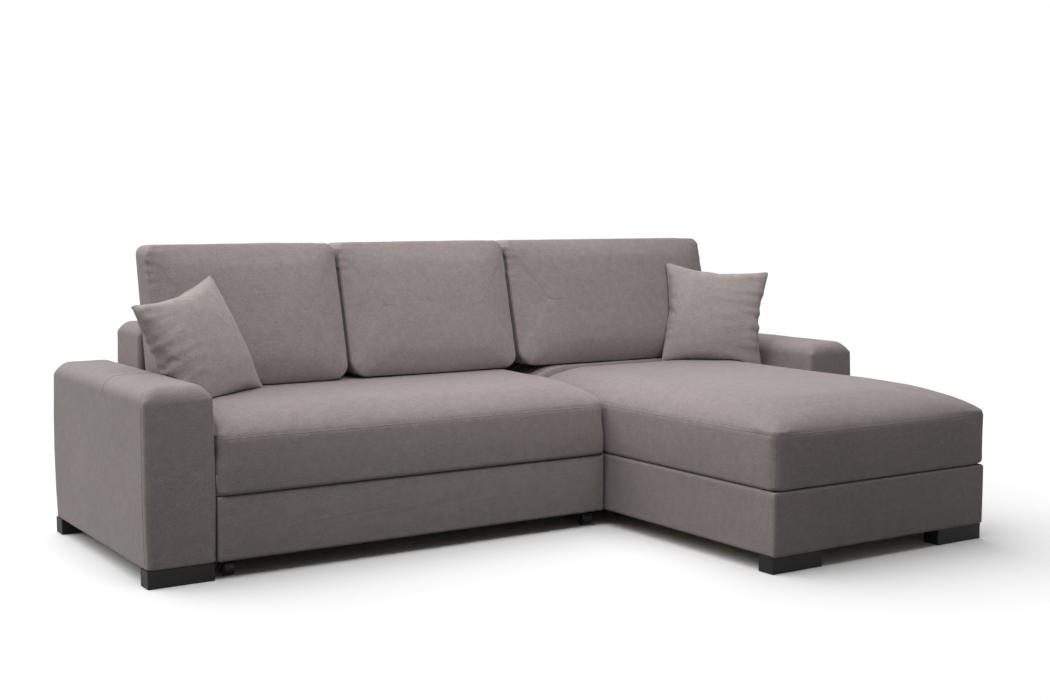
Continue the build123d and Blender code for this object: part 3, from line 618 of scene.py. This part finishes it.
def at_level(plan, z):
    return np.hstack([plan, np.full((len(plan), 1), z)])


def rear_limit(z):
    """How far back the chaise seat may reach at a height, so that it clears the fixed ledge as it opens."""
    rise = z - hinge_height
    rail_gap, least_gap, ledge_gap = 0.0055, 0.002, 0.006
    lean = np.maximum(least_gap, (lid_sine * rise - ledge_gap) / lid_cosine)
    return np.where(rise < 0, hinge_y - rail_gap, hinge_y - lean)


def seat(node_name, name, shoulders, left_swell):
    """A seat cushion: boxed walls sewn to a crowned top, swollen by its filling."""
    low, high = as_arrays(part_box(node_name))
    start_low, start_high = low + (0.004, 0.005, 0.0), high - (0.004, 0.0, 0.004)
    corners = (pad_corner, 0.01, 0.01, pad_corner)
    shape = padded_form(start_low, start_high, seam_height, shoulders, corners, foot=0.012, step=0.013,
                        hollow=skirt_height)
    pad = new_object(name, *shape)
    co = read(pad)
    edge = np.min([co[:, 0] - low[0], high[0] - co[:, 0], co[:, 1] - low[1]], axis=0)
    sewn = (edge < 0.012) & (np.abs(co[:, 2] - seam_height) < 0.007)
    under = (co[:, 2] < low[2] + 0.013) | ((edge > 0.02) & (co[:, 2] < low[2] + 0.066))
    inflate(pad, cushion_pressure, sewn | under | (co[:, 1] > high[1] - 0.03), 0.012, 0.0)
    subdivide(pad)
    level_out(pad, 150, smooth_step(seam_height + 0.004, seam_height + 0.03, read(pad)[:, 2]))
    co = read(pad)
    edge = np.min([co[:, 0] - low[0], high[0] - co[:, 0], co[:, 1] - low[1]], axis=0)
    groove = np.exp(-((co[:, 2] - seam_height) / 0.005) ** 2) * (edge < 0.02)
    shown = co[:, 2] > low[2] + 0.02
    lift(pad, shown * (ripple(co, 6, 2) * 0.0015 + ripple(co, 19, 3) * 0.0005) - 0.0022 * groove)
    co = read(pad)
    co[:, 2] = np.clip(co[:, 2], low[2], seat_crown - 0.0005)
    free_left = np.where(co[:, 1] < -0.06, left_swell, -0.0005)
    co[:, 0] = np.clip(co[:, 0], low[0] - free_left, high[0] + 0.004)
    write(pad, co)
    return pad, low, high


sofa_seat, low, high = seat("sofa_seat_pad", "sofa_seat_cushion", (0.19, 0.06, 0.06, 0.06), -0.0005)
co = read(sofa_seat)
middle = (low[0] + high[0]) / 2
spread = 1 + 0.013 / (high[0] - low[0]) * smooth_step(0.36, 0.31, co[:, 2])
co[:, 0] = middle + (co[:, 0] - middle) * spread
co[:, 0] = np.clip(co[:, 0], low[0] - 0.0024, high[0] + 0.0024)
write(sofa_seat, co)
dress(sofa_seat, cloth_main, "sofa_fabric", "sofa", "sofa_seat_pad", fill=0.9)
plan, _ = front_path((low[0], high[0]), (low[1], low[1] + 0.06), pad_corner)
sofa_seams.append(seam(sofa_seat, at_level(plan, seam_height)))

chaise_seat, low, high = seat("chaise_seat_pad", "chaise_seat_cushion", (0.19, 0.14, 0.024, 0.14), 0.004)
co = read(chaise_seat)
co[:, 1] = np.minimum(co[:, 1] + 0.004 * smooth_step(0.3, 0.39, co[:, 1]), rear_limit(co[:, 2]))
write(chaise_seat, co)
dress(chaise_seat, cloth_main, "sofa_fabric", "chaise_lid", "chaise_seat_pad", fill=0.9)
plan, _ = front_path((low[0], high[0]), (low[1], 0.37), pad_corner)
chaise_seams = [seam(chaise_seat, at_level(plan, seam_height))]
for corner_x in (low[0] + 0.005, high[0] - 0.005):
    upright = [(corner_x, low[1] + 0.005, low[2] + 0.012), (corner_x, low[1] + 0.005, seam_height)]
    chaise_seams.append(seam(chaise_seat, upright))

low, high = as_arrays(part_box("chaise_ledge_pad"))
shoulders = (0.012, 0.14, 0.012, 0.14)
shape = padded_form(low, high - (0, 0, 0.0005), seam_height, shoulders, [0.008] * 4)
ledge = new_object("chaise_ledge_cushion", *shape)
dress(ledge, cloth_main, "sofa_fabric", "sofa", "chaise_ledge_pad", fill=0.9)

# Cloth glued round timber edges that show: the seat frame's front, the side panels and the hinge line
wrap_side, wrap_front, wrap_level = 0.0004, 0.0012, 0.0008
rail_drop, rail_depth = 0.01, 0.015
wraps = []
for node_name, depth in (("sofa_seat_frame", 0.045), ("sofa_panel_left", 0.02), ("sofa_panel_right", 0.02)):
    low, high = as_arrays(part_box(node_name))
    far = (high[0] + wrap_side, low[1] + depth, high[2] - wrap_side)
    wraps.append(block(low - (wrap_side, wrap_front, wrap_level), far))
low, high = as_arrays(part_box("chaise_ledge_frame"))
near = (low[0] - wrap_side, low[1] - wrap_side, high[2] - rail_drop)
wraps.append(block(near, (high[0] + wrap_side, low[1] + rail_depth, high[2] + wrap_level)))
dress(joined("edge_cloth", wraps), cloth_main, "sofa_fabric", "sofa")
low, high = as_arrays(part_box("chaise_lid_frame"))
near = (low[0] - wrap_side, high[1] - rail_depth, high[2] - rail_drop)
lid_wrap = block(near, (high[0] + wrap_side, high[1] + wrap_side, high[2] + wrap_level))
dress(joined("lid_edge_cloth", [lid_wrap]), cloth_main, "sofa_fabric", "chaise_lid")

# Base cloth of the chaise, turned over the rim of the storage box
low, high = as_arrays(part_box("chaise_base_cover"))
board_out, board_in, rim = 0.0062, 0.0241, high[2]
section = [(0, low[2] + 0.003), (0, rim - 0.004), (-0.0012, rim - 0.0008), (-0.004, rim + 0.0012)]
section += [(-board_in - 0.0012, rim + 0.0012), (-board_in - 0.0012, rim - 0.016), (-board_in, rim - 0.016)]
section += [(-board_in, rim + 0.0002), (-board_out, rim + 0.0002)]
section += [(-board_out, low[2] + 0.0005), (-0.002, low[2] + 0.0005)]
section = resample([(out, z, 0) for out, z in section], 0.006, closed=True)[:, :2]
plan, outward = front_path((low[0], high[0]), (low[1], high[1]), 0.011)
rings = [np.hstack([spot + out * section[:, :1], section[:, 1:]]) for spot, out in zip(plan, outward)]
count = len(section)
faces = [tuple(range(count)), tuple((len(rings) - 1) * count + k for k in range(count))[::-1]]
for i in range(len(rings) - 1):
    for k in range(count):
        m = (k + 1) % count
        faces.append((i * count + k, (i + 1) * count + k, (i + 1) * count + m, i * count + m))
base = new_object("chaise_base_cloth", np.concatenate(rings), faces)
co = read(base)
lift(base, ripple(co, 6, 5) * 0.0012 * (co[:, 2] < rim - 0.01) * (co[:, 2] > low[2] + 0.01))
dress(base, cloth_main, "sofa_fabric", "sofa", "chaise_base_cover")
for corner_x in (low[0] + 0.003, high[0] - 0.003):
    upright = [(corner_x, low[1] + 0.003, low[2] + 0.004), (corner_x, low[1] + 0.003, rim - 0.004)]
    sofa_seams.append(seam(base, upright))

# Bed: padded front and mattress
low, high = as_arrays(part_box("bed_front_cover"))
low, high = low - (0.0012, 0.0005, 0.0005), high + (0.0012, 0.001, 0.0008)
flat_low, flat_high = (low[0], low[2], -high[1]), (high[0], high[2], -low[1])
verts, faces = padded_form(flat_low, flat_high, flat_high[2] - 0.009, [0.009] * 4, [0.006] * 4, 0.004)
upright = np.stack([verts[:, 0], -verts[:, 2], verts[:, 1]], axis=1)
bed_front = new_object("bed_front_upholstery", upright, faces)
co = read(bed_front)
face = co[:, [0, 2]]
middle = smooth_step(0, 0.06, np.minimum(face - low[[0, 2]], high[[0, 2]] - face).min(axis=1))
lift(bed_front, (co[:, 1] < low[1] + 0.004) * (0.002 * middle + ripple(co, 6, 6) * 0.0012))
dress(bed_front, cloth_main, "sofa_fabric", "bed", "bed_front_cover", fill=0.9)

low, high = as_arrays(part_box("bed_mattress_pad"))
shape = padded_form(low, high - (0, 0, 0.003), low[2] + 0.026, [0.02] * 4, [0.026] * 4, 0.008, step=0.014)
mattress = new_object("bed_mattress", *shape)
co = read(mattress)
quilt = np.abs(np.sin(math.pi * co[:, 0] / 0.11) * np.sin(math.pi * co[:, 1] / 0.11))
lift(mattress, (co[:, 2] > high[2] - 0.006) * 0.003 * np.sqrt(quilt))
dress(mattress, cloth_pad, "ticking", "bed", "bed_mattress_pad", fill=0.8)


# Elastic straps that pass over and under each other
def woven(node_name, name, body):
    low, high = as_arrays(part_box(node_name))
    level = (low[2] + high[2]) / 2
    size = high - low
    counts = [int(round(extent, 4) // 0.12) for extent in size[:2]]
    pitch = size[:2] / counts
    ribbons = []
    for axis, sign in ((0, 1), (1, -1)):
        other = 1 - axis
        for place in range(counts[axis]):
            along = np.linspace(low[other], high[other], 90)
            wave = np.cos(math.pi * ((along - low[other]) / pitch[other] - 0.5))
            line = np.zeros((len(along), 3))
            line[:, axis] = low[axis] + (place + 0.5) * pitch[axis]
            line[:, other] = along
            line[:, 2] = level + sign * (-1) ** place * 0.0013 * wave
            ribbons.append(tube(line, np.tile((0.0, 0.0, 1.0), (len(line), 1)), 0.03, 0.0009, flat=True))
    straps = joined(name, ribbons)
    dress(straps, strap_cloth, "webbing", body, node_name)


woven("sofa_seat_webbing", "sofa_seat_straps", "sofa")
woven("chaise_lid_webbing", "chaise_lid_straps", "chaise_lid")


# Loose back cushions
cushion_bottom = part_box("back_cushion_left")[0][2]
cushion_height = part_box("back_cushion_left")[1][2] - cushion_bottom
cushion_front = 0.402
cushion_lean = 0.125
nominal_depth = 0.170
front_seam = nominal_depth - 0.036


def cushion_depth(share):
    return 0.190 - 0.040 * share


def leaned(co):
    """From a cushion lying on its back (across, up, forward) to its place against the back."""
    share = co[:, 1] / cushion_height
    depth = cushion_depth(share)
    y = cushion_front + cushion_lean * share + depth * (1 - co[:, 2] / nominal_depth)
    return np.stack([co[:, 0], y, cushion_bottom + co[:, 1]], axis=1)


def lying(co):
    """The other way round from leaned."""
    up = co[:, 2] - cushion_bottom
    share = up / cushion_height
    depth = cushion_depth(share)
    forward = (cushion_front + cushion_lean * share + depth - co[:, 1]) * nominal_depth / depth
    return np.stack([co[:, 0], up, forward], axis=1)


def back_cushion(place, seed):
    node_name = f"back_cushion_{place}"
    low, high = as_arrays(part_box(node_name))
    flat_low = (low[0] + 0.006, 0.004, 0.0)
    flat_high = (high[0] - 0.006, cushion_height - 0.006, nominal_depth)
    corners = (0.052, 0.03, 0.03, 0.052)
    shoulders = (0.08, 0.075, 0.065, 0.075)
    verts, faces = padded_form(flat_low, flat_high, front_seam, shoulders, corners, 0.02, step=0.011)
    form = new_object(f"{place}_back_cushion", leaned(verts), faces)
    edge = np.min([verts[:, 0] - flat_low[0], flat_high[0] - verts[:, 0], verts[:, 1] - flat_low[1],
                   flat_high[1] - verts[:, 1]], axis=0)
    sewn = (edge < 0.012) & (np.abs(verts[:, 2] - front_seam) < 0.006)
    inflate(form, cushion_pressure, sewn | (verts[:, 2] < 0.03), 0.016, 0.0)
    subdivide(form)
    write(form, lying(read(form)))
    level_out(form, 140, smooth_step(front_seam + 0.004, front_seam + 0.02, read(form)[:, 2]))
    flat = read(form)
    write(form, leaned(flat))
    near_seam = np.exp(-((flat[:, 2] - front_seam) / 0.034) ** 2)
    sides = np.minimum(flat[:, 0] - low[0], high[0] - flat[:, 0])
    top = cushion_height - flat[:, 1]
    share = flat[:, 1] / cushion_height
    side_folds = ripple(flat, (12, 62, 16), seed) * np.exp(-(sides / 0.05) ** 2)
    from_left = smooth_step(0.3, 0.0, (flat[:, 0] - low[0]) / (high[0] - low[0]))
    side_folds *= 0.25 + 2.4 * smooth_step(0.55, 0.97, share) * (0.3 + 0.7 * from_left)
    top_folds = ripple(flat, (48, 12, 16), seed + 5) * np.exp(-(top / 0.045) ** 2)
    top_folds *= 0.15 + 1.6 * smooth_step(0.16, 0.02, sides) * (0.3 + 0.7 * from_left)
    broad = ripple(flat, 4.5, seed + 8) * 0.0026 + ripple(flat, 13, seed + 9) * 0.0007
    lift(form, 0.0021 * near_seam * (side_folds + top_folds) + broad * (flat[:, 2] > 0.04))
    co = read(form)
    co[:, 2] = np.clip(co[:, 2], low[2] - 0.0004, high[2] + 0.012)
    co[:, 0] = np.clip(co[:, 0], low[0] - 0.001, high[0] + 0.001)
    write(form, co)
    dress(form, cloth_main, "cushion_fabric", "sofa", node_name, fill=0.75)
    ring = ring_points((low[0], high[0]), (0, cushion_height), corners, front_seam, (40, 30, 8))
    sofa_seams.append(seam(form, leaned(ring), 0.0013, 0.0012, closed=True))
    return form


cushions = {place: back_cushion(place, seed) for seed, place in enumerate(("left", "middle", "right"))}


# Throw pillows
pillow_slide = np.array((0.0, 0.241922, 0.970296))


def throw_pillow(side, place, turn, body, folded, supports, rise):
    """A knife-edged pillow, swollen from a flat slip and pressed against what it leans on.

    The last of its supports is the cushion behind it, which it also clears as it slides up by its rise.
    """
    node_name = f"throw_pillow_{side}"
    count, size, thick = 60, 0.385, 0.112
    line = np.linspace(-1, 1, count + 1)
    u, v = np.meshgrid(line, line, indexing="ij")
    drawn = 0.05
    x = u * (1 - drawn * (1 - v**2)) * size / 2
    y = v * (1 - drawn * (1 - u**2)) * size / 2
    bulge = thick / 2 * ((1 - np.abs(u) ** 2.2) * (1 - np.abs(v) ** 2.2)) ** 0.62
    verts, index = [], {}
    for face in (1, -1):
        for i in range(count + 1):
            for j in range(count + 1):
                if face == -1 and (i in (0, count) or j in (0, count)):
                    index[face, i, j] = index[1, i, j]
                    continue
                index[face, i, j] = len(verts)
                verts.append((x[i, j], y[i, j], face * bulge[i, j]))
    faces = []
    for face in (1, -1):
        for i in range(count):
            for j in range(count):
                quad = [index[face, i + a, j + b] for a, b in ((0, 0), (1, 0), (1, 1), (0, 1))]
                faces.append(quad[::face])
    pillow = new_object(f"{side}_throw_pillow", verts, faces)
    tips = [index[1, i, j] for i in (0, count) for j in (0, count)]
    held = np.zeros(len(verts), bool)
    held[tips] = True
    inflate(pillow, pillow_pressure, held, 0.026, 0.05)
    subdivide(pillow)
    co = read(pillow)
    across, up = (2 * co[:, i] / size for i in (0, 1))
    off_rim = smooth_step(0.02, 0.1, 1 - np.maximum(np.abs(across), np.abs(up)))
    from_side = np.exp(-(1 - folded * across) / 0.42) * ripple(co, (9, 40, 9), 11)
    other_side = 0.35 * np.exp(-(1 + folded * across) / 0.25) * ripple(co, (9, 44, 9), 12)
    ends = 0.4 * np.exp(-(1 - np.abs(up)) / 0.22) * ripple(co, (42, 9, 9), 13)
    lift(pillow, off_rim * (0.0075 * (from_side + other_side + ends) + 0.002 * ripple(co, 12, 14)))
    yaw, lean, roll = (math.radians(t) for t in turn)
    facing = Vector((math.sin(yaw) * math.cos(lean), -math.cos(yaw) * math.cos(lean), math.sin(lean)))
    level = Vector((math.cos(yaw), math.sin(yaw), 0))
    upward = facing.cross(level)
    straight, turned = math.cos(roll), math.sin(roll)
    basis = [level * straight + upward * turned, upward * straight - level * turned, facing]
    co = read(pillow) @ np.array(basis) + np.array(place)
    for support in supports:
        co = pushed_out(co, surface(support), 0.004)
    for travel in np.linspace(0, rise, 9)[1:]:
        co = pushed_out(co + travel * pillow_slide, surface(supports[-1]), 0.004) - travel * pillow_slide
    write(pillow, without_spikes(pillow, co))
    co = read(pillow)
    dress(pillow, cloth_pillow, "pillow_fabric", body, node_name, fill=0.6)
    rim = [index[1, i, 0] for i in range(count)] + [index[1, count, j] for j in range(count)]
    rim += [index[1, i, count] for i in range(count, 0, -1)] + [index[1, 0, j] for j in range(count, 0, -1)]
    return tube(co[rim], vertex_normals(pillow)[rim], 0.0016, 0.0016, closed=True)


left_supports = (sofa_seat, arms["left"], cushions["left"])
left_rim = throw_pillow("left", (-1.051, 0.342, 0.632), (25, 20, 13), "sofa", -1, left_supports, 0.0)
right_supports = (chaise_seat, cushions["right"])
right_rim = throw_pillow("right", (0.991, 0.328, 0.647), (-35, 17, -5), "right_pillow", 1, right_supports,
                         0.165)

for name, parts, finish, slot, body in (
    ("sofa_seams", sofa_seams, cloth_main, "sofa_fabric", "sofa"),
    ("chaise_seams", chaise_seams, cloth_main, "sofa_fabric", "chaise_lid"),
    ("left_pillow_seam", [left_rim], cloth_pillow, "pillow_fabric", "sofa"),
    ("right_pillow_seam", [right_rim], cloth_pillow, "pillow_fabric", "right_pillow"),
):
    dress(joined(name, parts), finish, slot, body)

# CAD nodes that stay: finishes by slot, and slightly broken edges
finishes = {
    "timber": wood_y, "black_feet": black_foot, "castor_plastic": black_wheel, "roller_plastic": pale_roller,
    "buffer_rubber": rubber, "zinc_steel": zinc, "black_steel": lacquer, "webbing": strap_cloth,
    "sofa_fabric": cloth_main, "cushion_fabric": cloth_main, "pillow_fabric": cloth_pillow,
    "ticking": cloth_pad,
}
for part in frame["record"]["subparts"]:
    piece = nodes[part["node"]]
    slot = part["material_slot"]
    low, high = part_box(part["node"])
    across_grain = slot == "timber" and high[0] - low[0] > high[1] - low[1]
    piece.data.materials.clear()
    painted = lacquer if part["node"] == "castor_brackets" else finishes[slot]
    piece.data.materials.append(wood_x if across_grain else painted)
    if slot in ("black_feet", "timber"):
        bevel = piece.modifiers.new("broken_edges", "BEVEL")
        bevel.width = 0.0012
        bevel.segments = 2
        bevel.limit_method = "ANGLE"


# Floor, light and world
def seen_directly(tree):
    """1 for rays that show a surface itself, 0 for the light that it throws on others."""
    path = tree.nodes.new("ShaderNodeLightPath")
    shown = math_node(tree, "MAXIMUM", path.outputs["Is Camera Ray"], path.outputs["Is Glossy Ray"])
    return math_node(tree, "MAXIMUM", shown, path.outputs["Is Transmission Ray"])


def two_faced(tree, thrown, shown, output):
    mixed = tree.nodes.new("ShaderNodeMixShader")
    tree.links.new(seen_directly(tree), mixed.inputs[0])
    tree.links.new(thrown.outputs[0], mixed.inputs[1])
    tree.links.new(shown.outputs[0], mixed.inputs[2])
    tree.links.new(mixed.outputs[0], tree.nodes[output].inputs[0])


floor_finish, tree, shader = material("studio_floor")
place = tree.nodes.new("ShaderNodeTexCoord").outputs["Object"]
cloudy = stretched_noise(tree, place, (1, 1, 1), 0.7, 2)
pale = mix_colour(tree, cloudy, (0.955, 0.955, 0.955, 1), (0.965, 0.965, 0.965, 1))
tree.links.new(pale, shader.inputs["Base Color"])
shader.inputs["Roughness"].default_value = 0.9
shader.inputs["Specular IOR Level"].default_value = 0.0
thrown_light = add_node(tree, "ShaderNodeBsdfDiffuse", in_Color=(0.24, 0.24, 0.24, 1))
two_faced(tree, thrown_light, shader, "Material Output")
reach = 30.0
corners = [(-reach, -reach, -0.001), (reach, -reach, -0.001), (reach, reach, -0.001), (-reach, reach, -0.001)]
floor = new_object("studio_floor", corners, [(0, 1, 2, 3)])
floor.data.materials.append(floor_finish)

world = bpy.data.worlds.new("studio")
scene.world = world
world.use_nodes = True
tree = world.node_tree
ambient = tree.nodes["Background"]
ambient.inputs["Color"].default_value = (1, 1, 1, 1)
ambient.inputs["Strength"].default_value = 0.17
backdrop = add_node(tree, "ShaderNodeBackground", in_Color=(1, 1, 1, 1), in_Strength=1.0)
two_faced(tree, ambient, backdrop, "World Output")


def lamp(name, kind, energy, towards, place=(0, 0, 0)):
    light = bpy.data.lights.new(name, kind)
    light.energy = energy
    obj = bpy.data.objects.new(name, light)
    obj.location = place
    obj.rotation_euler = Vector(towards).to_track_quat("-Z", "Y").to_euler()
    scene.collection.objects.link(obj)
    return light


overhead = lamp("overhead", "SUN", 3.4, (0.33, -0.42, -0.85))
overhead.angle = math.radians(90)
softbox = lamp("softbox", "AREA", 7.2, (0.1, 1.3, -1.4), (-0.2, -0.9, 2.05))
softbox.spread = math.radians(80)
softbox.shape = "RECTANGLE"
softbox.size = 2.4
softbox.size_y = 0.8
